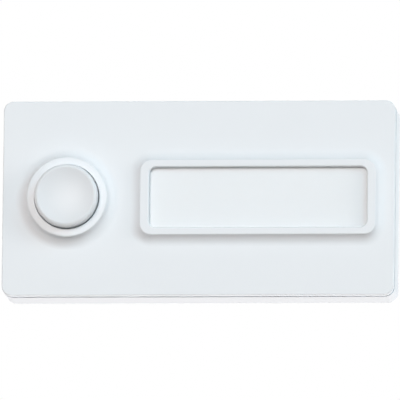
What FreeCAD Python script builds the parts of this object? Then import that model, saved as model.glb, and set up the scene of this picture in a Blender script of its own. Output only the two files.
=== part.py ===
import FreeCAD, Part
import math
import os

import Sketcher

# Surface-mounted doorbell push button with a name plate, in millimetres.
# The case is drawn as seen from the front: local x runs to the right, local y up and local z out
# from the wall, with the origin at the centre of the face that lies on the wall. FRONT_VIEW then
# stands every piece up in the part's own frame: X right, Z up, and the front facing -Y.
FRONT_VIEW = FreeCAD.Placement(FreeCAD.Vector(0, 0, 0), FreeCAD.Rotation(FreeCAD.Vector(1, 0, 0), 90))

# How near an edge must lie to the place where it is looked for, and a full turn in degrees.
TOLERANCE = 1e-4
FULL_TURN = 360

SIZES = {
    # Whole case
    "case_length": 90.0,
    "case_height": 45.0,
    "case_depth": 12.0,
    "corner_radius": 2.3,
    # Cover plate, its shadow gap and the lip that snaps into the box
    "plate_thickness": 1.5,
    "plate_edge_radius": 0.3,
    "shadow_gap": 1.3,
    "shadow_depth": 1.2,
    "lip_depth": 2.4,
    "lip_wall": 1.4,
    "lip_clearance": 0.15,
    "barb_length": 8.0,
    "barb_rise": 0.45,
    "barb_height": 1.2,
    "barb_setback": 0.5,
    "barb_end_margin": 20.0,
    "barb_clearance": 0.2,
    # Raised collar round the button, and the guide behind it
    "button_end_margin": 15.0,
    "collar_rise": 2.6,
    "collar_radius": 9.3,
    "collar_crown": 0.4,
    "collar_lean": 9.0,
    "bore_radius": 7.5,
    "bore_mouth": 0.1,
    "stop_shoulder": 2.4,
    "guide_radius": 8.7,
    "guide_wall": 1.3,
    "guide_overrun": 0.5,
    # Button
    "button_clearance": 0.25,
    "button_rise": 2.6,
    "button_travel": 1.5,
    "button_edge_radius": 0.8,
    "button_dish": 0.8,
    "button_face_thickness": 1.4,
    "button_wall": 1.2,
    "flange_thickness": 1.2,
    "flange_clearance": 0.3,
    "stem_radius": 2.0,
    "key_width": 2.0,
    "key_reach": 0.9,
    "key_clearance": 0.3,
    # Raised frame round the name field: its mouth narrows down to a lip in front of the pane
    "button_to_frame": 16.6,
    "frame_end_margin": 4.1,
    "frame_side_band": 2.1,
    "frame_long_band": 1.75,
    "frame_corner_radius": 2.7,
    "frame_rise": 1.6,
    "frame_crown": 0.3,
    "frame_lean": 28.0,
    "opening_height": 14.0,
    "opening_radius": 1.6,
    "mouth_inset": 0.1,
    "mouth_chamfer": 0.2,
    "lip_thickness": 0.6,
    # Clear pane, card and retainer
    "lip_cover": 0.5,
    "pane_clearance": 0.1,
    "pane_thickness": 0.8,
    "card_thickness": 0.3,
    "card_margin": 0.2,
    "pad_clearance": 0.2,
    "retainer_end_lap": 1.1,
    "retainer_side_lap": 4.9,
    "retainer_radius": 2.0,
    "retainer_thickness": 1.0,
    "pin_radius": 0.9,
    "pin_clearance": 0.05,
    "pin_end": 0.6,
    "pin_edge_margin": 2.0,
    "pin_end_margin": 4.0,
    # Back box
    "box_wall": 2.0,
    "box_floor": 2.0,
    "box_inner_radius": 1.0,
    "wall_hole_end_margin": 6.5,
    "wall_hole_radius": 2.1,
    "wall_boss_radius": 4.2,
    "wall_boss_height": 0.5,
    "cable_entry_length": 20.0,
    "cable_entry_height": 12.0,
    "cable_entry_radius": 2.0,
    "cable_entry_from_centre": 12.0,
    # Contact strips and their posts
    "post_height": 1.5,
    "rivet_post_width": 5.0,
    "terminal_post_width": 7.0,
    "strip_width": 5.0,
    "strip_thickness": 0.5,
    "strip_end_margin": 2.5,
    "leaf_thickness": 0.3,
    "leaf_tip": 3.0,
    "leaf_reach": 14.0,
    "joggle_start": 4.0,
    "joggle_angle": 45.0,
    "terminal_from_centre": 13.0,
    "tail_margin": 3.5,
    # Contact rivets
    "contact_radius": 1.5,
    "contact_height": 0.5,
    "contact_chamfer": 0.15,
    "contact_shank_radius": 0.75,
    # Fixing rivets
    "rivet_head_radius": 1.8,
    "rivet_head_height": 0.8,
    "rivet_head_chamfer": 0.5,
    "rivet_shank_radius": 1.0,
    "rivet_shank_length": 2.4,
    "hole_clearance": 0.05,
    "hole_end_gap": 0.1,
    # Wire terminals
    "washer_width": 6.4,
    "washer_thickness": 0.8,
    "washer_corner_radius": 0.6,
    "screw_head_radius": 2.75,
    "screw_head_height": 1.9,
    "screw_head_chamfer": 0.4,
    "screw_radius": 1.5,
    "screw_length": 3.6,
    "screw_slot_width": 0.8,
    "screw_slot_depth": 0.9,
    "insert_radius": 2.4,
    "insert_length": 2.7,
    "insert_groove_width": 0.7,
    "insert_groove_depth": 0.35,
}

doc = FreeCAD.newDocument("doorbell_push_button")
sheet = doc.addObject("Spreadsheet::Sheet", "Sizes")
for row, (alias, number) in enumerate(SIZES.items(), start=1):
    sheet.set(f"A{row}", alias)
    sheet.set(f"B{row}", str(number))
    sheet.setAlias(f"B{row}", alias)
doc.recompute()

# Levels above the wall
PLATE_FRONT = "Sizes.case_depth"
PLATE_BACK = "(Sizes.case_depth - Sizes.plate_thickness)"
BOX_TOP = f"({PLATE_BACK} - Sizes.shadow_gap)"
LIP_END = f"({BOX_TOP} - Sizes.lip_depth)"
BOX_FLOOR = "Sizes.box_floor"
COLLAR_TOP = "(Sizes.case_depth + Sizes.collar_rise)"
STOP = f"({COLLAR_TOP} - Sizes.stop_shoulder)"
BUTTON_TOP = f"({COLLAR_TOP} + Sizes.button_rise)"
FLANGE_BACK = f"({STOP} - Sizes.flange_thickness)"
GUIDE_END = f"({FLANGE_BACK} - Sizes.button_travel - Sizes.guide_overrun)"
FRAME_TOP = "(Sizes.case_depth + Sizes.frame_rise)"
PANE_FRONT = f"({FRAME_TOP} - Sizes.lip_thickness)"
PANE_BACK = f"({PANE_FRONT} - Sizes.pane_thickness)"
CARD_BACK = f"({PANE_BACK} - Sizes.card_thickness)"
RETAINER_BACK = f"({PLATE_BACK} - Sizes.retainer_thickness)"
STRIP_LEVEL = "(Sizes.box_floor + Sizes.post_height)"
STRIP_FRONT = f"({STRIP_LEVEL} + Sizes.strip_thickness)"
STRIP_CONTACT_FRONT = f"({STRIP_FRONT} + Sizes.contact_height)"
LEAF_CONTACT_BACK = f"({STRIP_CONTACT_FRONT} + Sizes.button_travel)"
LEAF_LEVEL = f"({LEAF_CONTACT_BACK} + Sizes.contact_height)"
LEAF_FRONT = f"({LEAF_LEVEL} + Sizes.leaf_thickness)"

# Places seen from the front
BUTTON_X = "(Sizes.button_end_margin - Sizes.case_length / 2)"
FRAME_LEFT = f"({BUTTON_X} + Sizes.button_to_frame)"
FRAME_RIGHT = "(Sizes.case_length / 2 - Sizes.frame_end_margin)"
FRAME_X = f"(({FRAME_LEFT} + {FRAME_RIGHT}) / 2)"
BARB_X = "(Sizes.case_length / 2 - Sizes.barb_end_margin)"
ENTRY_X = "Sizes.cable_entry_from_centre"
ROOT_X = f"({BUTTON_X} + Sizes.leaf_reach)"
TERMINAL_UP = "Sizes.terminal_from_centre"
TERMINAL_DOWN = "(-Sizes.terminal_from_centre)"

# Outlines that mating pieces share
BOX_INNER_LENGTH = "(Sizes.case_length - 2 * Sizes.box_wall)"
BOX_INNER_HEIGHT = "(Sizes.case_height - 2 * Sizes.box_wall)"
LIP_LENGTH = f"({BOX_INNER_LENGTH} - 2 * Sizes.lip_clearance)"
LIP_HEIGHT = f"({BOX_INNER_HEIGHT} - 2 * Sizes.lip_clearance)"
LIP_INNER_LENGTH = f"({LIP_LENGTH} - 2 * Sizes.lip_wall)"
LIP_INNER_HEIGHT = f"({LIP_HEIGHT} - 2 * Sizes.lip_wall)"
BARB_BACK = f"({LIP_END} + Sizes.barb_setback)"
BARB_FRONT = f"({BARB_BACK} + Sizes.barb_height)"
FRAME_LENGTH = f"({FRAME_RIGHT} - {FRAME_LEFT})"
FRAME_HEIGHT = "(Sizes.opening_height + 2 * Sizes.frame_long_band)"
OPENING_LENGTH = f"({FRAME_LENGTH} - 2 * Sizes.frame_side_band)"
LIP_OPENING_LENGTH = f"({OPENING_LENGTH} - 2 * Sizes.mouth_inset)"
LIP_OPENING_HEIGHT = "(Sizes.opening_height - 2 * Sizes.mouth_inset)"
LIP_OPENING_RADIUS = "(Sizes.opening_radius - Sizes.mouth_inset)"
PANE_LENGTH = f"({LIP_OPENING_LENGTH} + 2 * Sizes.lip_cover)"
PANE_HEIGHT = f"({LIP_OPENING_HEIGHT} + 2 * Sizes.lip_cover)"
PANE_RADIUS = f"({LIP_OPENING_RADIUS} + Sizes.lip_cover)"
RETAINER_LENGTH = f"({PANE_LENGTH} + 2 * Sizes.retainer_end_lap)"
RETAINER_HEIGHT = f"({PANE_HEIGHT} + 2 * Sizes.retainer_side_lap)"
PIN_ALONG = f"({RETAINER_LENGTH} / 2 - Sizes.pin_end_margin)"
PIN_UP = f"({RETAINER_HEIGHT} / 2 - Sizes.pin_edge_margin)"
FLANGE_RADIUS = "(Sizes.guide_radius - Sizes.flange_clearance)"
KEY_END = f"({FLANGE_RADIUS} + Sizes.key_reach)"
RIVET_HOLE = "(Sizes.rivet_shank_radius + Sizes.hole_clearance)"
SCREW_HOLE = "(Sizes.screw_radius + Sizes.hole_clearance)"
CONTACT_HOLE = "(Sizes.contact_shank_radius + Sizes.hole_clearance)"


def evaluate(expression):
    """The number that an expression on the sheet stands for."""
    result = sheet.evalExpression(expression)
    return float(getattr(result, "Value", result))


def make_body(name):
    body = doc.addObject("PartDesign::Body", name)
    body.Label = name
    return body


def make_sketch(body, name, plane, x="0", y="0", out="0"):
    """A sketch on one of the body's origin planes, moved along the plane and out of it."""
    sketch = body.newObject("Sketcher::SketchObject", f"{body.Name}_{name}")
    support = next(item for item in body.Origin.OriginFeatures if item.Role == plane)
    sketch.AttachmentSupport = [(support, "")]
    sketch.MapMode = "FlatFace"
    sketch.setExpression("AttachmentOffset.Base.x", x)
    sketch.setExpression("AttachmentOffset.Base.y", y)
    sketch.setExpression("AttachmentOffset.Base.z", out)
    return sketch


def bind(sketch, constraint, expression):
    """Adds a constraint and binds its size to an expression."""
    number = sketch.addConstraint(constraint)
    sketch.setExpression(f"Constraints[{number}]", expression)


def place_point(sketch, geometry, point, x, y):
    """Holds a point of the sketch at x and y from the sketch's origin."""
    across = Sketcher.Constraint("DistanceX", -1, 1, geometry, point, evaluate(x))
    bind(sketch, across, x)
    upward = Sketcher.Constraint("DistanceY", -1, 1, geometry, point, evaluate(y))
    bind(sketch, upward, y)


def draw_circle(sketch, radius, x="0", y="0"):
    centre = FreeCAD.Vector(evaluate(x), evaluate(y), 0)
    circle = sketch.addGeometry(Part.Circle(centre, FreeCAD.Vector(0, 0, 1), evaluate(radius)), False)
    bind(sketch, Sketcher.Constraint("Radius", circle, evaluate(radius)), radius)
    place_point(sketch, circle, 3, x, y)


def bend_between(start, end, radius, side):
    """An arc from start to end, with the numbers of its first and last points in that direction."""
    chord = end - start
    height = math.sqrt(max(radius ** 2 - (chord.Length / 2) ** 2, 0))
    leftward = FreeCAD.Vector(-chord.y, chord.x, 0).normalize()
    offset = leftward * height if side == "left" else leftward * -height
    centre = (start + end) * 0.5 + offset
    circle = Part.Circle(centre, FreeCAD.Vector(0, 0, 1), radius)
    start_angle = math.atan2(start.y - centre.y, start.x - centre.x)
    end_angle = math.atan2(end.y - centre.y, end.x - centre.x)
    if side == "left":
        return Part.ArcOfCircle(circle, start_angle, end_angle), 1, 2
    return Part.ArcOfCircle(circle, end_angle, start_angle), 2, 1


def draw_outline(sketch, corners, bends=None):
    """A closed outline through corners. bends turns the run after a corner into an arc of the
    given radius, whose centre lies on the left or right of the way round."""
    bends = bends or {}
    points = [FreeCAD.Vector(evaluate(x), evaluate(y), 0) for x, y in corners]
    runs = []
    for number, start in enumerate(points):
        end = points[(number + 1) % len(points)]
        if number in bends:
            radius, side = bends[number]
            arc, first, last = bend_between(start, end, evaluate(radius), side)
            index = sketch.addGeometry(arc, False)
            bind(sketch, Sketcher.Constraint("Radius", index, evaluate(radius)), radius)
        else:
            index = sketch.addGeometry(Part.LineSegment(start, end), False)
            first, last = 1, 2
        runs.append((index, first, last))
    for number, (x, y) in enumerate(corners):
        index, first, _ = runs[number]
        before, _, last = runs[number - 1]
        sketch.addConstraint(Sketcher.Constraint("Coincident", before, last, index, first))
        place_point(sketch, index, first, x, y)


def draw_rounded_rectangle(sketch, length, height, radius):
    """A rectangle with round corners, centred on the sketch's origin."""
    half_length = evaluate(length) / 2
    half_height = evaluate(height) / 2
    corner = evaluate(radius)
    across = half_length - corner
    up = half_height - corner
    out = FreeCAD.Vector(0, 0, 1)
    ends = (
        ((-across, -half_height), (across, -half_height)),
        ((half_length, -up), (half_length, up)),
        ((across, half_height), (-across, half_height)),
        ((-half_length, up), (-half_length, -up)),
    )
    centres = ((across, -up), (across, up), (-across, up), (-across, -up))
    sides = []
    arcs = []
    for number, (start, end) in enumerate(ends):
        side = Part.LineSegment(FreeCAD.Vector(*start, 0), FreeCAD.Vector(*end, 0))
        sides.append(sketch.addGeometry(side, False))
        circle = Part.Circle(FreeCAD.Vector(*centres[number], 0), out, corner)
        turn = (number - 1) * math.pi / 2
        arcs.append(sketch.addGeometry(Part.ArcOfCircle(circle, turn, turn + math.pi / 2), False))
    for number, side in enumerate(sides):
        following = sides[(number + 1) % len(sides)]
        sketch.addConstraint(Sketcher.Constraint("Tangent", side, 2, arcs[number], 1))
        sketch.addConstraint(Sketcher.Constraint("Tangent", arcs[number], 2, following, 1))
        sketch.addConstraint(Sketcher.Constraint("Vertical" if number % 2 else "Horizontal", side))
    for arc in arcs[1:]:
        sketch.addConstraint(Sketcher.Constraint("Equal", arcs[0], arc))
    sketch.addConstraint(Sketcher.Constraint("Symmetric", sides[0], 1, sides[2], 1, -1, 1))
    bind(sketch, Sketcher.Constraint("Radius", arcs[0], corner), radius)
    wide = Sketcher.Constraint("DistanceX", sides[3], 1, sides[1], 1, 2 * half_length)
    bind(sketch, wide, length)
    high = Sketcher.Constraint("DistanceY", sides[0], 1, sides[2], 1, 2 * half_height)
    bind(sketch, high, height)


def draw_rectangle(sketch, left, right, bottom, top):
    draw_outline(sketch, [(left, bottom), (right, bottom), (right, top), (left, top)])


def pad(body, sketch, length, backward=False, both_ways=False):
    feature = body.newObject("PartDesign::Pad", f"{sketch.Name}_pad")
    feature.Profile = sketch
    feature.setExpression("Length", length)
    feature.Reversed = backward
    if both_ways:
        feature.SideType = "Symmetric"
    doc.recompute()
    return feature


def check_cut(body, feature, before):
    """Recomputes a cut and makes sure that it took something away."""
    doc.recompute()
    if body.Shape.Volume > before - TOLERANCE:
        raise ValueError(f"{feature.Name} cuts nothing")
    return feature


def pocket(body, sketch, depth=None, forward=False):
    """Cuts the sketch's outline back towards the wall, or forward; with no depth, right through."""
    before = body.Shape.Volume
    feature = body.newObject("PartDesign::Pocket", f"{sketch.Name}_cut")
    feature.Profile = sketch
    feature.Reversed = forward
    if depth:
        feature.setExpression("Length", depth)
    else:
        feature.Type = "ThroughAll"
    return check_cut(body, feature, before)


def revolve(body, sketch):
    feature = body.newObject("PartDesign::Revolution", f"{sketch.Name}_turned")
    feature.Profile = sketch
    feature.ReferenceAxis = (sketch, ["V_Axis"])
    feature.Angle = FULL_TURN
    doc.recompute()
    return feature


def groove(body, sketch):
    before = body.Shape.Volume
    feature = body.newObject("PartDesign::Groove", f"{sketch.Name}_bored")
    feature.Profile = sketch
    feature.ReferenceAxis = (sketch, ["V_Axis"])
    feature.Angle = FULL_TURN
    return check_cut(body, feature, before)


def cut_between(body, name, start, end):
    """Cuts the space between two outlines at different levels."""
    before = body.Shape.Volume
    feature = body.newObject("PartDesign::SubtractiveLoft", f"{body.Name}_{name}_cut")
    feature.Profile = start
    feature.Sections = [end]
    feature.Ruled = True
    return check_cut(body, feature, before)


def mirror(body, feature, plane):
    """Mirrors a feature across one of the body's origin planes."""
    copy = body.newObject("PartDesign::Mirrored", f"{feature.Name}_mirrored")
    copy.Originals = [feature]
    copy.MirrorPlane = (next(item for item in body.Origin.OriginFeatures if item.Role == plane), [""])
    body.Tip = copy
    doc.recompute()
    return copy


def fillet(body, base, names, radius):
    feature = body.newObject("PartDesign::Fillet", f"{base.Name}_round")
    feature.Base = (base, names)
    feature.setExpression("Radius", radius)
    doc.recompute()
    return feature


def raised_wall(edge, top, rise, inner, name):
    """Section of the collar's or the frame's moulded wall: a round crown at its edge, and a cove that
    falls from it to the plate. inner is where the section's top ends. The cove's radius follows from
    the rise, because crown and cove meet where both lean as much."""
    lean = f"(Sizes.{name}_lean * 1 deg)"
    crown = f"Sizes.{name}_crown"
    cove = f"({rise} / (1 - sin({lean})) - {crown})"
    flat_end = f"({edge} - {crown})"
    meeting_x = f"({flat_end} + {crown} * cos({lean}))"
    meeting_y = f"({top} - {crown} + {crown} * sin({lean}))"
    foot_x = f"({meeting_x} + {cove} * cos({lean}))"
    corners = [
        (inner, PLATE_BACK),
        (foot_x, PLATE_BACK),
        (foot_x, PLATE_FRONT),
        (meeting_x, meeting_y),
        (flat_end, top),
        (inner, top),
    ]
    return corners, {2: (cove, "right"), 3: (crown, "left")}


def draw_opening(sketch, inset="0"):
    """The outline of the name field's opening, or one that runs at a distance inside it."""
    length = f"({OPENING_LENGTH} - 2 * {inset})"
    height = f"(Sizes.opening_height - 2 * {inset})"
    draw_rounded_rectangle(sketch, length, height, f"(Sizes.opening_radius - {inset})")


def make_front_cover():
    """Moulded cover: plate, button collar and guide, name frame, and the lip that snaps into the box."""
    body = make_body("front_cover")

    # Plate, with its front edge rounded all the way round
    outline = make_sketch(body, "plate", "XY_Plane", out=PLATE_BACK)
    draw_rounded_rectangle(outline, "Sizes.case_length", "Sizes.case_height", "Sizes.corner_radius")
    plate = pad(body, outline, "Sizes.plate_thickness")
    front = evaluate(PLATE_FRONT)
    faces = [
        f"Face{number}"
        for number, face in enumerate(plate.Shape.Faces, start=1)
        if face.BoundBox.ZMin > front - TOLERANCE
    ]
    fillet(body, plate, faces, "Sizes.plate_edge_radius")

    # Shoulder that stands on the box's rim, set back so that a shadow gap shows all round
    shoulder = make_sketch(body, "shoulder", "XY_Plane", out=PLATE_BACK)
    draw_rounded_rectangle(
        shoulder,
        "Sizes.case_length - 2 * Sizes.shadow_depth",
        "Sizes.case_height - 2 * Sizes.shadow_depth",
        "Sizes.corner_radius - Sizes.shadow_depth",
    )
    draw_rounded_rectangle(shoulder, LIP_INNER_LENGTH, LIP_INNER_HEIGHT, "Sizes.box_inner_radius")
    pad(body, shoulder, "Sizes.shadow_gap", backward=True)

    # Lip inside the box's walls
    lip = make_sketch(body, "lip", "XY_Plane", out=BOX_TOP)
    draw_rounded_rectangle(lip, LIP_LENGTH, LIP_HEIGHT, "Sizes.box_inner_radius")
    draw_rounded_rectangle(lip, LIP_INNER_LENGTH, LIP_INNER_HEIGHT, "Sizes.box_inner_radius")
    pad(body, lip, "Sizes.lip_depth", backward=True)

    # Snap barbs on the lip's long sides, at both ends: a ramp, a crest and a catch
    barbs = make_sketch(body, "barbs", "YZ_Plane", out=BARB_X)
    for side in ("", "-"):
        root = f"({side}({LIP_HEIGHT} / 2 - Sizes.lip_wall / 2))"
        face = f"({side}({LIP_HEIGHT} / 2))"
        crest = f"({side}({LIP_HEIGHT} / 2 + Sizes.barb_rise))"
        ramp_end = f"({BARB_FRONT} - Sizes.barb_rise)"
        corners = [
            (root, BARB_BACK),
            (face, BARB_BACK),
            (crest, ramp_end),
            (face, BARB_FRONT),
            (root, BARB_FRONT),
        ]
        draw_outline(barbs, corners)
    right_barbs = pad(body, barbs, "Sizes.barb_length", both_ways=True)
    mirror(body, right_barbs, "YZ_Plane")

    # Collar round the button
    collar = make_sketch(body, "collar", "XZ_Plane", x=BUTTON_X)
    corners, bends = raised_wall("Sizes.collar_radius", COLLAR_TOP, "Sizes.collar_rise", "0", "collar")
    draw_outline(collar, corners, bends)
    revolve(body, collar)

    # Guide for the button's flange, then the bore through collar and guide
    guide = make_sketch(body, "guide", "XY_Plane", x=BUTTON_X, out=PLATE_BACK)
    draw_circle(guide, "Sizes.guide_radius + Sizes.guide_wall")
    pad(body, guide, f"{PLATE_BACK} - {GUIDE_END}", backward=True)
    bore = make_sketch(body, "bore", "XZ_Plane", x=BUTTON_X)
    mouth_start = f"({COLLAR_TOP} - Sizes.bore_mouth)"
    mouth_radius = "(Sizes.bore_radius + Sizes.bore_mouth)"
    corners = [
        ("0", GUIDE_END),
        ("Sizes.guide_radius", GUIDE_END),
        ("Sizes.guide_radius", STOP),
        ("Sizes.bore_radius", STOP),
        ("Sizes.bore_radius", mouth_start),
        (mouth_radius, COLLAR_TOP),
        ("0", COLLAR_TOP),
    ]
    draw_outline(bore, corners)
    groove(body, bore)

    # Two slots in the guide that keep the button from turning
    slots = make_sketch(body, "slots", "XY_Plane", x=BUTTON_X, out=STOP)
    half_slot = "(Sizes.key_width / 2 + Sizes.key_clearance)"
    slot_end = f"({KEY_END} + Sizes.key_clearance)"
    draw_rectangle(slots, f"-{half_slot}", half_slot, f"-{slot_end}", slot_end)
    pocket(body, slots, f"{STOP} - {GUIDE_END}")

    # Frame round the name field: a core, and a section that runs round the core's edge
    core = make_sketch(body, "frame_core", "XY_Plane", x=FRAME_X, out=PLATE_FRONT)
    draw_rounded_rectangle(
        core,
        f"({FRAME_LENGTH} - 2 * Sizes.frame_crown)",
        f"({FRAME_HEIGHT} - 2 * Sizes.frame_crown)",
        "(Sizes.frame_corner_radius - Sizes.frame_crown)",
    )
    pad(body, core, "Sizes.frame_rise")
    path = make_sketch(body, "frame_path", "XY_Plane", x=FRAME_X, out=FRAME_TOP)
    draw_rounded_rectangle(path, FRAME_LENGTH, FRAME_HEIGHT, "Sizes.frame_corner_radius")
    section = make_sketch(body, "frame_section", "YZ_Plane", out=FRAME_X)
    edge = f"({FRAME_HEIGHT} / 2)"
    inner = f"({edge} - 2 * Sizes.frame_crown)"
    corners, bends = raised_wall(edge, FRAME_TOP, "Sizes.frame_rise", inner, "frame")
    draw_outline(section, corners, bends)
    frame = body.newObject("PartDesign::AdditivePipe", "front_cover_frame")
    frame.Profile = section
    frame.Spine = (path, [])
    doc.recompute()

    # Mouth of the name field: a chamfered edge, then walls that lean in to the lip
    mouth_edge = f"{FRAME_TOP} - Sizes.mouth_chamfer"
    outside = make_sketch(body, "chamfer_front", "XY_Plane", x=FRAME_X, out=FRAME_TOP)
    draw_opening(outside, "(-Sizes.mouth_chamfer)")
    inside = make_sketch(body, "chamfer_back", "XY_Plane", x=FRAME_X, out=mouth_edge)
    draw_opening(inside)
    cut_between(body, "chamfer", outside, inside)
    mouth = make_sketch(body, "mouth_front", "XY_Plane", x=FRAME_X, out=mouth_edge)
    draw_opening(mouth)
    lip_opening = make_sketch(body, "lip_opening", "XY_Plane", x=FRAME_X, out=PANE_FRONT)
    draw_opening(lip_opening, "Sizes.mouth_inset")
    cut_between(body, "mouth", mouth, lip_opening)

    # Seat behind the lip for pane and card
    seat = make_sketch(body, "pane_seat", "XY_Plane", x=FRAME_X, out=PLATE_BACK)
    draw_rounded_rectangle(
        seat,
        f"({PANE_LENGTH} + 2 * Sizes.pane_clearance)",
        f"({PANE_HEIGHT} + 2 * Sizes.pane_clearance)",
        f"({PANE_RADIUS} + Sizes.pane_clearance)",
    )
    pocket(body, seat, f"{PANE_FRONT} - {PLATE_BACK}", forward=True)

    # Four pins behind the plate for the retainer
    pins = make_sketch(body, "pins", "XY_Plane", x=FRAME_X, out=PLATE_BACK)
    for along in (PIN_ALONG, f"-{PIN_ALONG}"):
        for up in (PIN_UP, f"-{PIN_UP}"):
            draw_circle(pins, "Sizes.pin_radius", along, up)
    pad(body, pins, f"{PLATE_BACK} - {RETAINER_BACK} + Sizes.pin_end", backward=True)
    return body


def draw_post(body, name, x, y, width, height):
    """A square post on the box's floor."""
    post = make_sketch(body, name, "XY_Plane", x=x, y=y, out=BOX_FLOOR)
    half = f"({width} / 2)"
    draw_rectangle(post, f"-{half}", half, f"-{half}", half)
    pad(body, post, height)


def bore_hole(body, name, x, y, radius, top, depth=None):
    """A round hole from a level down, or right through with no depth."""
    hole = make_sketch(body, name, "XY_Plane", x=x, y=y, out=top)
    draw_circle(hole, radius)
    pocket(body, hole, depth)


def make_back_box():
    """Moulded tray that is screwed to the wall and carries the contact strips on its posts."""
    body = make_body("back_box")
    outline = make_sketch(body, "outside", "XY_Plane")
    draw_rounded_rectangle(outline, "Sizes.case_length", "Sizes.case_height", "Sizes.corner_radius")
    pad(body, outline, BOX_TOP)
    inside = make_sketch(body, "inside", "XY_Plane", out=BOX_TOP)
    draw_rounded_rectangle(inside, BOX_INNER_LENGTH, BOX_INNER_HEIGHT, "Sizes.box_inner_radius")
    pocket(body, inside, f"{BOX_TOP} - {BOX_FLOOR}")

    # Recesses in the long walls that the cover's barbs snap into
    recesses = make_sketch(body, "recesses", "XY_Plane", out=f"{BARB_FRONT} + Sizes.barb_clearance")
    half_barb = "(Sizes.barb_length / 2 + Sizes.barb_clearance)"
    wall = f"({BOX_INNER_HEIGHT} / 2)"
    recess = f"({wall} + Sizes.barb_rise)"
    for middle in (BARB_X, f"-{BARB_X}"):
        left = f"({middle} - {half_barb})"
        right = f"({middle} + {half_barb})"
        draw_rectangle(recesses, left, right, wall, recess)
        draw_rectangle(recesses, left, right, f"-{recess}", f"-{wall}")
    pocket(body, recesses, "Sizes.barb_height + 2 * Sizes.barb_clearance")

    # Low bosses round the two wall screw holes
    hole_x = "(Sizes.case_length / 2 - Sizes.wall_hole_end_margin)"
    bosses = make_sketch(body, "bosses", "XY_Plane", out=BOX_FLOOR)
    draw_circle(bosses, "Sizes.wall_boss_radius", hole_x)
    draw_circle(bosses, "Sizes.wall_boss_radius", f"-{hole_x}")
    pad(body, bosses, "Sizes.wall_boss_height")
    holes = make_sketch(body, "wall_holes", "XY_Plane", out=f"{BOX_FLOOR} + Sizes.wall_boss_height")
    draw_circle(holes, "Sizes.wall_hole_radius", hole_x)
    draw_circle(holes, "Sizes.wall_hole_radius", f"-{hole_x}")
    pocket(body, holes)

    # Entry for the bell cable through the floor
    entry = make_sketch(body, "cable_entry", "XY_Plane", x=ENTRY_X, out=BOX_FLOOR)
    draw_rounded_rectangle(
        entry, "Sizes.cable_entry_length", "Sizes.cable_entry_height", "Sizes.cable_entry_radius"
    )
    pocket(body, entry)

    # Posts: under the fixed contact, at the rivets and at the two terminals
    draw_post(body, "anvil", BUTTON_X, "0", "Sizes.rivet_post_width", "Sizes.post_height")
    draw_post(body, "strip_post", BUTTON_X, TERMINAL_DOWN, "Sizes.rivet_post_width", "Sizes.post_height")
    draw_post(body, "leaf_post", ROOT_X, "0", "Sizes.rivet_post_width", f"{LEAF_LEVEL} - {BOX_FLOOR}")
    rivet_hole_depth = "Sizes.rivet_shank_length - {thickness} + Sizes.hole_end_gap"
    strip_hole = rivet_hole_depth.format(thickness="Sizes.strip_thickness")
    leaf_hole = rivet_hole_depth.format(thickness="Sizes.leaf_thickness")
    bore_hole(body, "strip_rivet_hole", BUTTON_X, TERMINAL_DOWN, RIVET_HOLE, STRIP_LEVEL, strip_hole)
    bore_hole(body, "leaf_rivet_hole", ROOT_X, "0", RIVET_HOLE, LEAF_LEVEL, leaf_hole)
    for name, y in (("leaf", TERMINAL_UP), ("strip", TERMINAL_DOWN)):
        post_width = "Sizes.terminal_post_width"
        draw_post(body, f"{name}_terminal_post", ROOT_X, y, post_width, "Sizes.post_height")
        insert_hole = "Sizes.insert_radius + Sizes.hole_clearance"
        depth = "Sizes.insert_length"
        bore_hole(body, f"{name}_insert_hole", ROOT_X, y, insert_hole, STRIP_LEVEL, depth)
    return body


def make_button_cap():
    """Hollow push button with a dished face, a stop flange, two keys and a stem for the leaf."""
    body = make_body("button_cap")
    section = make_sketch(body, "section", "XZ_Plane", x=BUTTON_X)
    radius = "(Sizes.bore_radius - Sizes.button_clearance)"
    flat_radius = f"({radius} - Sizes.button_edge_radius)"
    ceiling = f"({BUTTON_TOP} - Sizes.button_dish - Sizes.button_face_thickness)"
    hollow_radius = f"({radius} - Sizes.button_wall)"
    dish_radius = f"(({flat_radius} ^ 2 + Sizes.button_dish ^ 2) / (2 * Sizes.button_dish))"
    corners = [
        ("0", LEAF_FRONT),
        ("Sizes.stem_radius", LEAF_FRONT),
        ("Sizes.stem_radius", ceiling),
        (hollow_radius, ceiling),
        (hollow_radius, FLANGE_BACK),
        (FLANGE_RADIUS, FLANGE_BACK),
        (FLANGE_RADIUS, STOP),
        (radius, STOP),
        (radius, f"({BUTTON_TOP} - Sizes.button_edge_radius)"),
        (flat_radius, BUTTON_TOP),
        ("0", f"({BUTTON_TOP} - Sizes.button_dish)"),
    ]
    draw_outline(section, corners, {8: ("Sizes.button_edge_radius", "left"), 9: (dish_radius, "right")})
    revolve(body, section)
    keys = make_sketch(body, "keys", "XY_Plane", x=BUTTON_X, out=FLANGE_BACK)
    half_key = "(Sizes.key_width / 2)"
    draw_rectangle(keys, f"-{half_key}", half_key, radius, KEY_END)
    draw_rectangle(keys, f"-{half_key}", half_key, f"-{KEY_END}", f"-{radius}")
    pad(body, keys, "Sizes.flange_thickness")
    return body


def make_name_window():
    """Clear pane, put in from behind against the frame's lip."""
    body = make_body("name_window")
    pane = make_sketch(body, "outline", "XY_Plane", x=FRAME_X, out=PANE_BACK)
    draw_rounded_rectangle(pane, PANE_LENGTH, PANE_HEIGHT, PANE_RADIUS)
    pad(body, pane, "Sizes.pane_thickness")
    return body


def make_name_card():
    """Blank card behind the pane."""
    body = make_body("name_card")
    card = make_sketch(body, "outline", "XY_Plane", x=FRAME_X, out=CARD_BACK)
    draw_rounded_rectangle(
        card,
        f"({PANE_LENGTH} - 2 * Sizes.card_margin)",
        f"({PANE_HEIGHT} - 2 * Sizes.card_margin)",
        f"({PANE_RADIUS} - Sizes.card_margin)",
    )
    pad(body, card, "Sizes.card_thickness")
    return body


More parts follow.
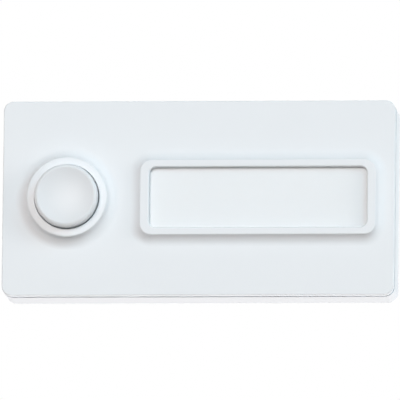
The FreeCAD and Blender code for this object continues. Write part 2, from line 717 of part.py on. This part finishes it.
def make_card_retainer():
    """Plate pushed onto the cover's four pins, whose raised pad holds card and pane against the lip."""
    body = make_body("card_retainer")
    plate = make_sketch(body, "outline", "XY_Plane", x=FRAME_X, out=RETAINER_BACK)
    draw_rounded_rectangle(plate, RETAINER_LENGTH, RETAINER_HEIGHT, "Sizes.retainer_radius")
    for along in (PIN_ALONG, f"-{PIN_ALONG}"):
        for up in (PIN_UP, f"-{PIN_UP}"):
            draw_circle(plate, "Sizes.pin_radius + Sizes.pin_clearance", along, up)
    pad(body, plate, "Sizes.retainer_thickness")
    raised = make_sketch(body, "raised_pad", "XY_Plane", x=FRAME_X, out=PLATE_BACK)
    draw_rounded_rectangle(
        raised,
        f"({PANE_LENGTH} - 2 * Sizes.pad_clearance)",
        f"({PANE_HEIGHT} - 2 * Sizes.pad_clearance)",
        f"({PANE_RADIUS} - Sizes.pad_clearance)",
    )
    pad(body, raised, f"{CARD_BACK} - {PLATE_BACK}")
    return body


def make_contact_leaf():
    """Phosphor bronze spring: an arm under the button, and a tail stepped down to its terminal."""
    body = make_body("contact_leaf")
    half_width = "(Sizes.strip_width / 2)"

    # Tail, seen from its side: level at the rivet, stepped down, level at the terminal
    tail = make_sketch(body, "tail", "YZ_Plane", out=ROOT_X)
    step_end = f"(Sizes.joggle_start + ({LEAF_LEVEL} - {STRIP_LEVEL}) / tan(Sizes.joggle_angle * 1 deg))"
    shift = "(Sizes.leaf_thickness * tan(Sizes.joggle_angle / 2 * 1 deg))"
    tail_end = "(Sizes.terminal_from_centre + Sizes.tail_margin)"
    tail_front = f"({STRIP_LEVEL} + Sizes.leaf_thickness)"
    corners = [
        (f"-{half_width}", LEAF_LEVEL),
        ("Sizes.joggle_start", LEAF_LEVEL),
        (step_end, STRIP_LEVEL),
        (tail_end, STRIP_LEVEL),
        (tail_end, tail_front),
        (f"({step_end} + {shift})", tail_front),
        (f"(Sizes.joggle_start + {shift})", LEAF_FRONT),
        (f"-{half_width}", LEAF_FRONT),
    ]
    draw_outline(tail, corners)
    pad(body, tail, "Sizes.strip_width", both_ways=True)

    # Arm from the rivet to the button, with the holes for contact, rivet and screw
    arm = make_sketch(body, "arm", "XY_Plane", out=LEAF_LEVEL)
    draw_rectangle(arm, f"{BUTTON_X} - Sizes.leaf_tip", ROOT_X, f"-{half_width}", half_width)
    pad(body, arm, "Sizes.leaf_thickness")
    bore_hole(body, "contact_hole", BUTTON_X, "0", CONTACT_HOLE, LEAF_FRONT)
    bore_hole(body, "rivet_hole", ROOT_X, "0", RIVET_HOLE, LEAF_FRONT)
    bore_hole(body, "screw_hole", ROOT_X, TERMINAL_UP, SCREW_HOLE, LEAF_FRONT)
    return body


def make_contact_strip():
    """Fixed brass strip, bent in its own plane from the contact to its terminal."""
    body = make_body("contact_strip")
    half_width = "(Sizes.strip_width / 2)"
    strip = make_sketch(body, "outline", "XY_Plane", out=STRIP_LEVEL)
    left = f"({BUTTON_X} - {half_width})"
    corners = [
        (left, f"({TERMINAL_DOWN} - {half_width})"),
        (f"({ROOT_X} + Sizes.tail_margin)", f"({TERMINAL_DOWN} - {half_width})"),
        (f"({ROOT_X} + Sizes.tail_margin)", f"({TERMINAL_DOWN} + {half_width})"),
        (f"({BUTTON_X} + {half_width})", f"({TERMINAL_DOWN} + {half_width})"),
        (f"({BUTTON_X} + {half_width})", "Sizes.strip_end_margin"),
        (left, "Sizes.strip_end_margin"),
    ]
    draw_outline(strip, corners)
    pad(body, strip, "Sizes.strip_thickness")
    bore_hole(body, "contact_hole", BUTTON_X, "0", CONTACT_HOLE, STRIP_FRONT)
    bore_hole(body, "rivet_hole", BUTTON_X, TERMINAL_DOWN, RIVET_HOLE, STRIP_FRONT)
    bore_hole(body, "screw_hole", ROOT_X, TERMINAL_DOWN, SCREW_HOLE, STRIP_FRONT)
    return body


def make_contact(name, head, seat, shank_end):
    """Silver contact rivet at the button's axis: a head with a chamfered rim, and a shank in its strip."""
    body = make_body(name)
    section = make_sketch(body, "section", "XZ_Plane", x=BUTTON_X)
    toward = "-" if evaluate(head) > evaluate(seat) else "+"
    rim = f"({head} {toward} Sizes.contact_chamfer)"
    corners = [
        ("0", head),
        ("(Sizes.contact_radius - Sizes.contact_chamfer)", head),
        ("Sizes.contact_radius", rim),
        ("Sizes.contact_radius", seat),
        ("Sizes.contact_shank_radius", seat),
        ("Sizes.contact_shank_radius", shank_end),
        ("0", shank_end),
    ]
    draw_outline(section, corners)
    revolve(body, section)
    return body


def make_rivet(name, x, y, seat):
    """Flat-head rivet that holds a strip on its post, with the edge of its head chamfered."""
    body = make_body(name)
    section = make_sketch(body, "section", "XZ_Plane", x=x, out=f"-({y})")
    tip = f"({seat} - Sizes.rivet_shank_length)"
    head_top = f"({seat} + Sizes.rivet_head_height)"
    corners = [
        ("0", tip),
        ("Sizes.rivet_shank_radius", tip),
        ("Sizes.rivet_shank_radius", seat),
        ("Sizes.rivet_head_radius", seat),
        ("Sizes.rivet_head_radius", f"({head_top} - Sizes.rivet_head_chamfer)"),
        ("(Sizes.rivet_head_radius - Sizes.rivet_head_chamfer)", head_top),
        ("0", head_top),
    ]
    draw_outline(section, corners)
    revolve(body, section)
    return body


def make_terminal(name, y, seat):
    """Clamp washer, screw and threaded insert of one terminal. seat is the strip's front there."""
    washer = make_body(f"{name}_clamp_washer")
    plate = make_sketch(washer, "outline", "XY_Plane", x=ROOT_X, y=y, out=seat)
    width = "Sizes.washer_width"
    draw_rounded_rectangle(plate, width, width, "Sizes.washer_corner_radius")
    draw_circle(plate, SCREW_HOLE)
    pad(washer, plate, "Sizes.washer_thickness")

    screw = make_body(f"{name}_terminal_screw")
    section = make_sketch(screw, "section", "XZ_Plane", x=ROOT_X, out=f"-({y})")
    under_head = f"({seat} + Sizes.washer_thickness)"
    head_top = f"({under_head} + Sizes.screw_head_height)"
    tip = f"({under_head} - Sizes.screw_length)"
    corners = [
        ("0", tip),
        ("Sizes.screw_radius", tip),
        ("Sizes.screw_radius", under_head),
        ("Sizes.screw_head_radius", under_head),
        ("Sizes.screw_head_radius", f"({head_top} - Sizes.screw_head_chamfer)"),
        ("(Sizes.screw_head_radius - Sizes.screw_head_chamfer)", head_top),
        ("0", head_top),
    ]
    draw_outline(section, corners)
    revolve(screw, section)
    slot = make_sketch(screw, "slot", "XY_Plane", x=ROOT_X, y=y, out=head_top)
    half_slot = "(Sizes.screw_slot_width / 2)"
    draw_rectangle(slot, "-Sizes.screw_head_radius", "Sizes.screw_head_radius", f"-{half_slot}", half_slot)
    pocket(screw, slot, "Sizes.screw_slot_depth")

    insert = make_body(f"{name}_terminal_insert")
    section = make_sketch(insert, "section", "XZ_Plane", x=ROOT_X, out=f"-({y})")
    end = f"({STRIP_LEVEL} - Sizes.insert_length)"
    middle = f"(({STRIP_LEVEL} + {end}) / 2)"
    half_groove = "(Sizes.insert_groove_width / 2)"
    waist = "(Sizes.insert_radius - Sizes.insert_groove_depth)"
    corners = [
        (SCREW_HOLE, end),
        ("Sizes.insert_radius", end),
        ("Sizes.insert_radius", f"({middle} - {half_groove})"),
        (waist, f"({middle} - {half_groove})"),
        (waist, f"({middle} + {half_groove})"),
        ("Sizes.insert_radius", f"({middle} + {half_groove})"),
        ("Sizes.insert_radius", STRIP_LEVEL),
        (SCREW_HOLE, STRIP_LEVEL),
    ]
    draw_outline(section, corners)
    revolve(insert, section)
    return [washer, screw, insert]


bodies = [
    make_front_cover(),
    make_back_box(),
    make_button_cap(),
    make_name_window(),
    make_name_card(),
    make_card_retainer(),
    make_contact_leaf(),
    make_contact_strip(),
    make_contact("leaf_contact", LEAF_CONTACT_BACK, LEAF_LEVEL, LEAF_FRONT),
    make_contact("strip_contact", STRIP_CONTACT_FRONT, STRIP_FRONT, STRIP_LEVEL),
    make_rivet("leaf_rivet", ROOT_X, "0", LEAF_FRONT),
    make_rivet("strip_rivet", BUTTON_X, TERMINAL_DOWN, STRIP_FRONT),
]
bodies += make_terminal("leaf", TERMINAL_UP, f"({STRIP_LEVEL} + Sizes.leaf_thickness)")
bodies += make_terminal("strip", TERMINAL_DOWN, STRIP_FRONT)

for body in bodies:
    body.Placement = FRONT_VIEW
doc.recompute()

for item in doc.Objects:
    if "Invalid" in item.State or "Error" in item.State:
        raise ValueError(f"{item.Name} failed: {item.State}")
for body in bodies:
    if body.Shape.isNull() or not body.Shape.isValid():
        raise ValueError(f"{body.Label} has no valid shape")

os.makedirs("parts", exist_ok=True)
for body in bodies:
    body.Shape.exportStep(f"parts/{body.Label}.step")
    print(body.Label, len(body.Shape.Solids), round(body.Shape.Volume, 3))
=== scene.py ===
import math

import bmesh
import bpy
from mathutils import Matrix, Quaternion, Vector


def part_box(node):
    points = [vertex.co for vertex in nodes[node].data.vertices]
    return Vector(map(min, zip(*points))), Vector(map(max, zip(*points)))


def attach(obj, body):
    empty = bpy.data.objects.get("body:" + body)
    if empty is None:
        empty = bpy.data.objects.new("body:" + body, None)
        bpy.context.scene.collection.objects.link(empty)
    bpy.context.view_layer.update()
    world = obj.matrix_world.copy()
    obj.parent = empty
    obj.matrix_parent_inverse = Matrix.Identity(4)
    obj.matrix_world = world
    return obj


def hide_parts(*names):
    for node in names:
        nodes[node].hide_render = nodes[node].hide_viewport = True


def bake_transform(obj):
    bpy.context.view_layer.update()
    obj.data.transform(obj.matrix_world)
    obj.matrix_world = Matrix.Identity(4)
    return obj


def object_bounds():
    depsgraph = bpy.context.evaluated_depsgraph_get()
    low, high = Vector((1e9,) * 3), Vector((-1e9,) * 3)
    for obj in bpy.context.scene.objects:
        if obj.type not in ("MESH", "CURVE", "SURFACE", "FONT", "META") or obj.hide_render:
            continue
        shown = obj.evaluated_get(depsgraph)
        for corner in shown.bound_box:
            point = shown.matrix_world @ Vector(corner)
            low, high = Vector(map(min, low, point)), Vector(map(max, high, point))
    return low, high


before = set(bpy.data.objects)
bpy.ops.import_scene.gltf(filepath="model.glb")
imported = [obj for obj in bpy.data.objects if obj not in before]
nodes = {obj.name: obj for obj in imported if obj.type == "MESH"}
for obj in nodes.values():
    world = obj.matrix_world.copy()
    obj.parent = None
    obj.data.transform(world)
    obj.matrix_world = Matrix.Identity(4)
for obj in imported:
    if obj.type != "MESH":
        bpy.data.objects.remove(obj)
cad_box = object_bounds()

# Front cover.
# The real piece is one injection moulding in white ABS: plate, button collar, name frame and snap lip.
# Its tool is spark-eroded, so the skin is a fine even satin without gloss.

# A Mix node has sockets for numbers, vectors and colours: these are its two colours and their mix.
colour_a, colour_b, colour_mix = 6, 7, 2


def linear(hex_colour, alpha=1.0):
    """An sRGB hex colour as the linear colour that the shaders take."""
    channels = [int(hex_colour[place:place + 2], 16) / 255 for place in (1, 3, 5)]
    turned = [c / 12.92 if c <= 0.04045 else ((c + 0.055) / 1.055) ** 2.4 for c in channels]
    return (*turned, alpha)


def add_node(tree, kind, settings=None, inputs=None, links=None):
    """One shader node with its settings, socket values and the outputs that feed it."""
    node = tree.nodes.new(kind)
    for name, value in (settings or {}).items():
        setattr(node, name, value)
    for socket, value in (inputs or {}).items():
        node.inputs[socket].default_value = value
    for socket, (source, output) in (links or {}).items():
        tree.links.new(source.outputs[output], node.inputs[socket])
    return node


def start_material(name):
    """An empty material with its shader tree, its Principled shader and Object coordinates."""
    material = bpy.data.materials.new(name)
    material.use_nodes = True
    tree = material.node_tree
    shader = tree.nodes["Principled BSDF"]
    place = add_node(tree, "ShaderNodeTexCoord")
    return material, tree, shader, place


def moulded_plastic(name, light, shade, roughness, grain):
    """Spark-eroded moulding: an even satin skin with a grain of tiny soft pits, and a colour that
    drifts very slightly over the piece as the melt flowed. grain is the pits' size in metres."""
    flow_size = 0.012
    grain_depth = 0.000006
    gloss_spread = 0.04
    abs_ior = 1.53
    material, tree, shader, place = start_material(name)
    flow = add_node(
        tree, "ShaderNodeTexNoise", inputs={"Scale": 1 / flow_size, "Detail": 2.0},
        links={"Vector": (place, "Object")},
    )
    tone = add_node(
        tree, "ShaderNodeMix", {"data_type": "RGBA"},
        {colour_a: linear(light), colour_b: linear(shade)}, {"Factor": (flow, "Fac")},
    )
    pits = add_node(
        tree, "ShaderNodeTexNoise", inputs={"Scale": 1 / grain, "Detail": 3.0, "Roughness": 0.6},
        links={"Vector": (place, "Object")},
    )
    skin = add_node(
        tree, "ShaderNodeBump", inputs={"Strength": 0.5, "Distance": grain_depth},
        links={"Height": (pits, "Fac")},
    )
    sheen = add_node(
        tree, "ShaderNodeMapRange",
        inputs={"To Min": roughness - gloss_spread, "To Max": roughness + gloss_spread},
        links={"Value": (pits, "Fac")},
    )
    tree.links.new(tone.outputs[colour_mix], shader.inputs["Base Color"])
    tree.links.new(sheen.outputs["Result"], shader.inputs["Roughness"])
    tree.links.new(skin.outputs["Normal"], shader.inputs["Normal"])
    shader.inputs["IOR"].default_value = abs_ior
    return material


def dress(node, material):
    """Gives a piece that comes from the solids its material."""
    nodes[node].material_slots[0].material = material


cover_abs = moulded_plastic("abs_spark_eroded_white", "#ECF1F5", "#EAEFF3", 0.55, 0.00035)
dress("front_cover", cover_abs)

# Back box.
# The same white ABS, moulded as a shallow tray and screwed to the wall. Its walls draw straight off
# the tool, which leaves them a little smoother than the cover.

box_abs = moulded_plastic("abs_tray_white", "#E8ECF0", "#E5E9EE", 0.5, 0.0005)
dress("back_box", box_abs)

# Button.
# A separate cap of the same ABS, dropped into the collar from behind before the box is closed.
# Its finer grain and the touch of fingers make it the smoothest face of the object.

button_abs = moulded_plastic("abs_button_white", "#E4E9ED", "#E2E7EB", 0.42, 0.0003)


def stand_in(name, node, material):
    """A new piece in its own material that starts as a copy of a node's mesh."""
    piece = bpy.data.objects.new(name, nodes[node].data.copy())
    bpy.context.scene.collection.objects.link(piece)
    piece.data.materials.clear()
    piece.data.materials.append(material)
    return piece


button = stand_in("dished_button", "button_cap", button_abs)
# The dish's deepest point becomes one vertex that faces straight forward, so it shades without a fleck.
pole_reach = 0.00001
low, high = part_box("button_cap")
axis = (low + high) / 2
shape = bmesh.new()
shape.from_mesh(button.data)
pole = [vert for vert in shape.verts if math.hypot(vert.co.x - axis.x, vert.co.z - axis.z) < pole_reach]
bmesh.ops.remove_doubles(shape, verts=pole, dist=pole_reach)
shape.to_mesh(button.data)
shape.free()
facing = [corner.vector.copy() for corner in button.data.corner_normals]
for number, corner in enumerate(button.data.loops):
    place = button.data.vertices[corner.vertex_index].co
    if math.hypot(place.x - axis.x, place.z - axis.z) < pole_reach and facing[number].y < 0:
        facing[number] = Vector((0, -1, 0))
button.data.normals_split_custom_set(facing)
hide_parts("button_cap")
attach(button, "button")

# Name pane.
# Clear acrylic with polished faces, held from behind against the lip of the frame. Wiping has dulled
# its gloss in faint patches, and otherwise the eye sees only a thin cool veil over the card.

wiped_patch_size = 0.01
polished, wiped = 0.1, 0.2
acrylic_ior = 1.49
veil = 0.08
pane_acrylic, tree, shader, place = start_material("acrylic_clear_polished")
patches = add_node(
    tree, "ShaderNodeTexNoise", inputs={"Scale": 1 / wiped_patch_size, "Detail": 2.0},
    links={"Vector": (place, "Object")},
)
gloss = add_node(
    tree, "ShaderNodeMapRange", inputs={"To Min": polished, "To Max": wiped},
    links={"Value": (patches, "Fac")},
)
tree.links.new(gloss.outputs["Result"], shader.inputs["Roughness"])
shader.inputs["Base Color"].default_value = linear("#F4F8FA")
shader.inputs["IOR"].default_value = acrylic_ior
shader.inputs["Alpha"].default_value = veil
dress("name_window", pane_acrylic)

# Name card.
# A blank slip of uncoated white card behind the pane. Its short fibres give a dull, slightly
# cloudy white beside the plastic, and a hair of air parts it from the pane that it leans on.

air_gap = 0.00003
fibre_size = 0.0008
card_paper, tree, shader, place = start_material("card_uncoated_white")
fibre = add_node(
    tree, "ShaderNodeTexNoise", inputs={"Scale": 1 / fibre_size, "Detail": 4.0, "Roughness": 0.7},
    links={"Vector": (place, "Object")},
)
tone = add_node(
    tree, "ShaderNodeMix", {"data_type": "RGBA"},
    {colour_a: linear("#F5F9FC"), colour_b: linear("#F1F6F9")}, {"Factor": (fibre, "Fac")},
)
tree.links.new(tone.outputs[colour_mix], shader.inputs["Base Color"])
shader.inputs["Roughness"].default_value = 0.85
card = stand_in("blank_card", "name_card", card_paper)
card_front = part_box("name_card")[0].y
for vert in card.data.vertices:
    if vert.co.y < card_front + air_gap:
        vert.co.y = card_front + air_gap
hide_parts("name_card")
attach(card, "housing")

# Card retainer.
# A plain moulding in uncoloured ABS, pushed onto the cover's four pins. Without the white pigment
# it is duller and a little warmer than the outside.

retainer_abs = moulded_plastic("abs_retainer_natural", "#DEDFDC", "#D9DAD7", 0.6, 0.0005)
dress("card_retainer", retainer_abs)

# Contact strip.
# The fixed contact's carrier, blanked from half-hard brass strip. The rolls leave fine parallel
# lines along it.


def worked_metal(name, light, dark, roughness):
    """Rolled or turned metal, with the fine parallel lines that the rolls or the tool leave. They run
    along X, drawn out there to twenty times their spacing."""
    line_spacing = 0.00012
    line_depth = 0.000004
    drawn_out = 0.05
    material, tree, shader, place = start_material(name)
    stretched = add_node(
        tree, "ShaderNodeMapping", inputs={"Scale": (drawn_out, 1.0, 1.0)},
        links={"Vector": (place, "Object")},
    )
    lines = add_node(
        tree, "ShaderNodeTexNoise", inputs={"Scale": 1 / line_spacing, "Detail": 2.0},
        links={"Vector": (stretched, "Vector")},
    )
    tone = add_node(
        tree, "ShaderNodeMix", {"data_type": "RGBA"},
        {colour_a: linear(light), colour_b: linear(dark)}, {"Factor": (lines, "Fac")},
    )
    grooves = add_node(
        tree, "ShaderNodeBump", inputs={"Strength": 0.4, "Distance": line_depth},
        links={"Height": (lines, "Fac")},
    )
    tree.links.new(tone.outputs[colour_mix], shader.inputs["Base Color"])
    tree.links.new(grooves.outputs["Normal"], shader.inputs["Normal"])
    shader.inputs["Metallic"].default_value = 1.0
    shader.inputs["Roughness"].default_value = roughness
    return material


strip_brass = worked_metal("brass_rolled", "#D6B56E", "#C8A55E", 0.3)
dress("contact_strip", strip_brass)

# Contacts.
# Two coined rivets of fine silver, pale and soft-looking beside the brass. The upper one rides on
# the leaf under the button, and the lower one is set in the strip.

silver = worked_metal("silver_coined", "#E6E4DF", "#D9D7D1", 0.25)
dress("leaf_contact", silver)
dress("strip_contact", silver)

# Rivets and terminals.
# Turned brass rivets and inserts fix the two strips in the box's posts. The wire screws and their
# square washers are steel with a bright zinc plate, cooler and greyer than the brass.

turned_brass = worked_metal("brass_turned", "#D8B870", "#C9A860", 0.28)
zinc_steel = worked_metal("steel_zinc_plated", "#CDD0D2", "#BFC3C6", 0.35)
for end in ("leaf", "strip"):
    dress(f"{end}_rivet", turned_brass)
    dress(f"{end}_terminal_insert", turned_brass)
    dress(f"{end}_terminal_screw", zinc_steel)
    dress(f"{end}_clamp_washer", zinc_steel)

# Contact leaf.
# A spring cut from rolled phosphor bronze, redder than the brass and riveted at its root. Pressing
# the button bends its arm; this copy is only divided finely along its length, and nothing here bends it.

cut_count = 24
merge_reach = 0.000001
cut_reach = 0.0000001
spring_bronze = worked_metal("phosphor_bronze_rolled", "#C9966A", "#B98558", 0.32)
leaf = stand_in("bending_leaf", "contact_leaf", spring_bronze)
low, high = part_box("contact_leaf")
shape = bmesh.new()
shape.from_mesh(leaf.data)
bmesh.ops.remove_doubles(shape, verts=shape.verts, dist=merge_reach)
for number in range(1, cut_count):
    across = low.x + (high.x - low.x) * number / cut_count
    everything = shape.verts[:] + shape.edges[:] + shape.faces[:]
    bmesh.ops.bisect_plane(
        shape, geom=everything, dist=cut_reach, plane_co=(across, 0, 0), plane_no=(1, 0, 0)
    )
shape.to_mesh(leaf.data)
shape.free()
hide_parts("contact_leaf")
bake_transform(leaf)

# Stage.
# A matt pale floor far below the object, which hangs free as it would on a wall. The world is white to
# the camera and in gloss and glass, and gives everything else only a faint warm light.

floor_drop = 1.4
floor_size = 1.2
cloud_size = 0.3
ambient_strength = 0.05
shape = bmesh.new()
bmesh.ops.create_grid(shape, x_segments=1, y_segments=1, size=floor_size / 2)
bmesh.ops.translate(shape, verts=shape.verts, vec=(0, 0, cad_box[0].z - floor_drop))
floor_mesh = bpy.data.meshes.new("floor")
shape.to_mesh(floor_mesh)
shape.free()
floor = bpy.data.objects.new("floor", floor_mesh)
bpy.context.scene.collection.objects.link(floor)
floor_paint, tree, shader, place = start_material("floor_matt_white")
cloud = add_node(
    tree, "ShaderNodeTexNoise", inputs={"Scale": 1 / cloud_size, "Detail": 2.0},
    links={"Vector": (place, "Object")},
)
tone = add_node(
    tree, "ShaderNodeMix", {"data_type": "RGBA"},
    {colour_a: linear("#F4EAE0"), colour_b: linear("#EFE5DB")}, {"Factor": (cloud, "Fac")},
)
tree.links.new(tone.outputs[colour_mix], shader.inputs["Base Color"])
shader.inputs["Roughness"].default_value = 0.9
floor.data.materials.append(floor_paint)

world = bpy.data.worlds.new("studio")
bpy.context.scene.world = world
world.use_nodes = True
tree = world.node_tree
tree.nodes.clear()
rays = add_node(tree, "ShaderNodeLightPath")
seen = add_node(
    tree, "ShaderNodeMath", {"operation": "MAXIMUM"},
    links={0: (rays, "Is Camera Ray"), 1: (rays, "Is Glossy Ray")},
)
seen = add_node(
    tree, "ShaderNodeMath", {"operation": "MAXIMUM"}, links={0: (seen, 0), 1: (rays, "Is Transmission Ray")}
)
ambient = add_node(
    tree, "ShaderNodeBackground", inputs={"Color": linear("#FFE6D2"), "Strength": ambient_strength}
)
white = add_node(tree, "ShaderNodeBackground", inputs={"Color": (1, 1, 1, 1), "Strength": 1.0})
mixed = add_node(tree, "ShaderNodeMixShader", links={0: (seen, 0), 1: (ambient, 0), 2: (white, 0)})
add_node(tree, "ShaderNodeOutputWorld", links={"Surface": (mixed, 0)})

# Lamps.
# Eight square softboxes: a nearly frontal key, a high and a low one from the right that lift the right
# walls, weak ones at the sides, and two from behind for the top and the back. Azimuth and elevation are
# in degrees, powers in watts.


def direction(azimuth, elevation):
    """Unit vector from the object towards a place at these angles: azimuth 0 is straight in front,
    90 to the right; elevation is above the horizon."""
    turn = math.radians(azimuth)
    rise = math.radians(elevation)
    return Vector((math.sin(turn) * math.cos(rise), -math.cos(turn) * math.cos(rise), math.sin(rise)))


def add_lamp(name, azimuth, elevation, distance, size, power, tint):
    """A square soft lamp aimed at the object."""
    lamp = bpy.data.lights.new(name, "AREA")
    lamp.size = size
    lamp.energy = power
    lamp.color = linear(tint)[:3]
    holder = bpy.data.objects.new(name, lamp)
    towards = direction(azimuth, elevation)
    holder.location = towards * distance
    holder.rotation_mode = "QUATERNION"
    holder.rotation_quaternion = towards.to_track_quat("Z", "Y")
    bpy.context.scene.collection.objects.link(holder)


lamp_distance = 3.0
lamp_size = 1.4
under_distance = 0.8
under_size = 0.4
cool_light = "#B8ECFF"
warm_light = "#FFF8F5"
rim_light = "#F6FCFF"
add_lamp("key", -12, 11, lamp_distance, lamp_size, 60.0, warm_light)
add_lamp("top_light", 38, 28, lamp_distance, lamp_size, 24.0, cool_light)
add_lamp("side_light", 72, 8, lamp_distance, lamp_size, 34.0, warm_light)
add_lamp("left_rim", -100, 0, lamp_distance, lamp_size, 16.0, "#FFF3EC")
add_lamp("right_rim", 125, 0, lamp_distance, lamp_size, 38.0, rim_light)
add_lamp("back_top_light", 180, 50, lamp_distance, lamp_size, 27.0, rim_light)
add_lamp("back_left_light", -130, 5, lamp_distance, lamp_size, 24.0, rim_light)
add_lamp("under_light", 180, -65, under_distance, under_size, 5.3, "#FFFDFD")

# Camera.
# A long lens, a little to the right of the plate and a little below it, as the two sides that show tell.
# frame_width is what the picture spans at the plate. The plate's middle lies at the centre, in pixels.

view_azimuth = 5.5
view_elevation = -9.0
view_roll = 0.68
camera_distance = 4.0
frame_width = 0.0914
picture_side = 400
centre_x = 198.4
centre_y = 198.0
plate_front = -0.012
camera_data = bpy.data.cameras.new("camera")
camera = bpy.data.objects.new("camera", camera_data)
bpy.context.scene.collection.objects.link(camera)
bpy.context.scene.camera = camera
camera_data.lens = camera_data.sensor_width * camera_distance / frame_width
aim = Vector((0, plate_front, 0))
towards = direction(view_azimuth, view_elevation)
level = towards.to_track_quat("Z", "Y")
camera.rotation_mode = "QUATERNION"
camera.rotation_quaternion = level @ Quaternion((0, 0, 1), math.radians(view_roll))
camera.location = aim + towards * camera_distance
camera_data.shift_x = (picture_side / 2 - centre_x) / picture_side
camera_data.shift_y = -(picture_side / 2 - centre_y) / picture_side
camera_data.clip_end = 20
bpy.context.scene.view_settings.view_transform = "Standard"
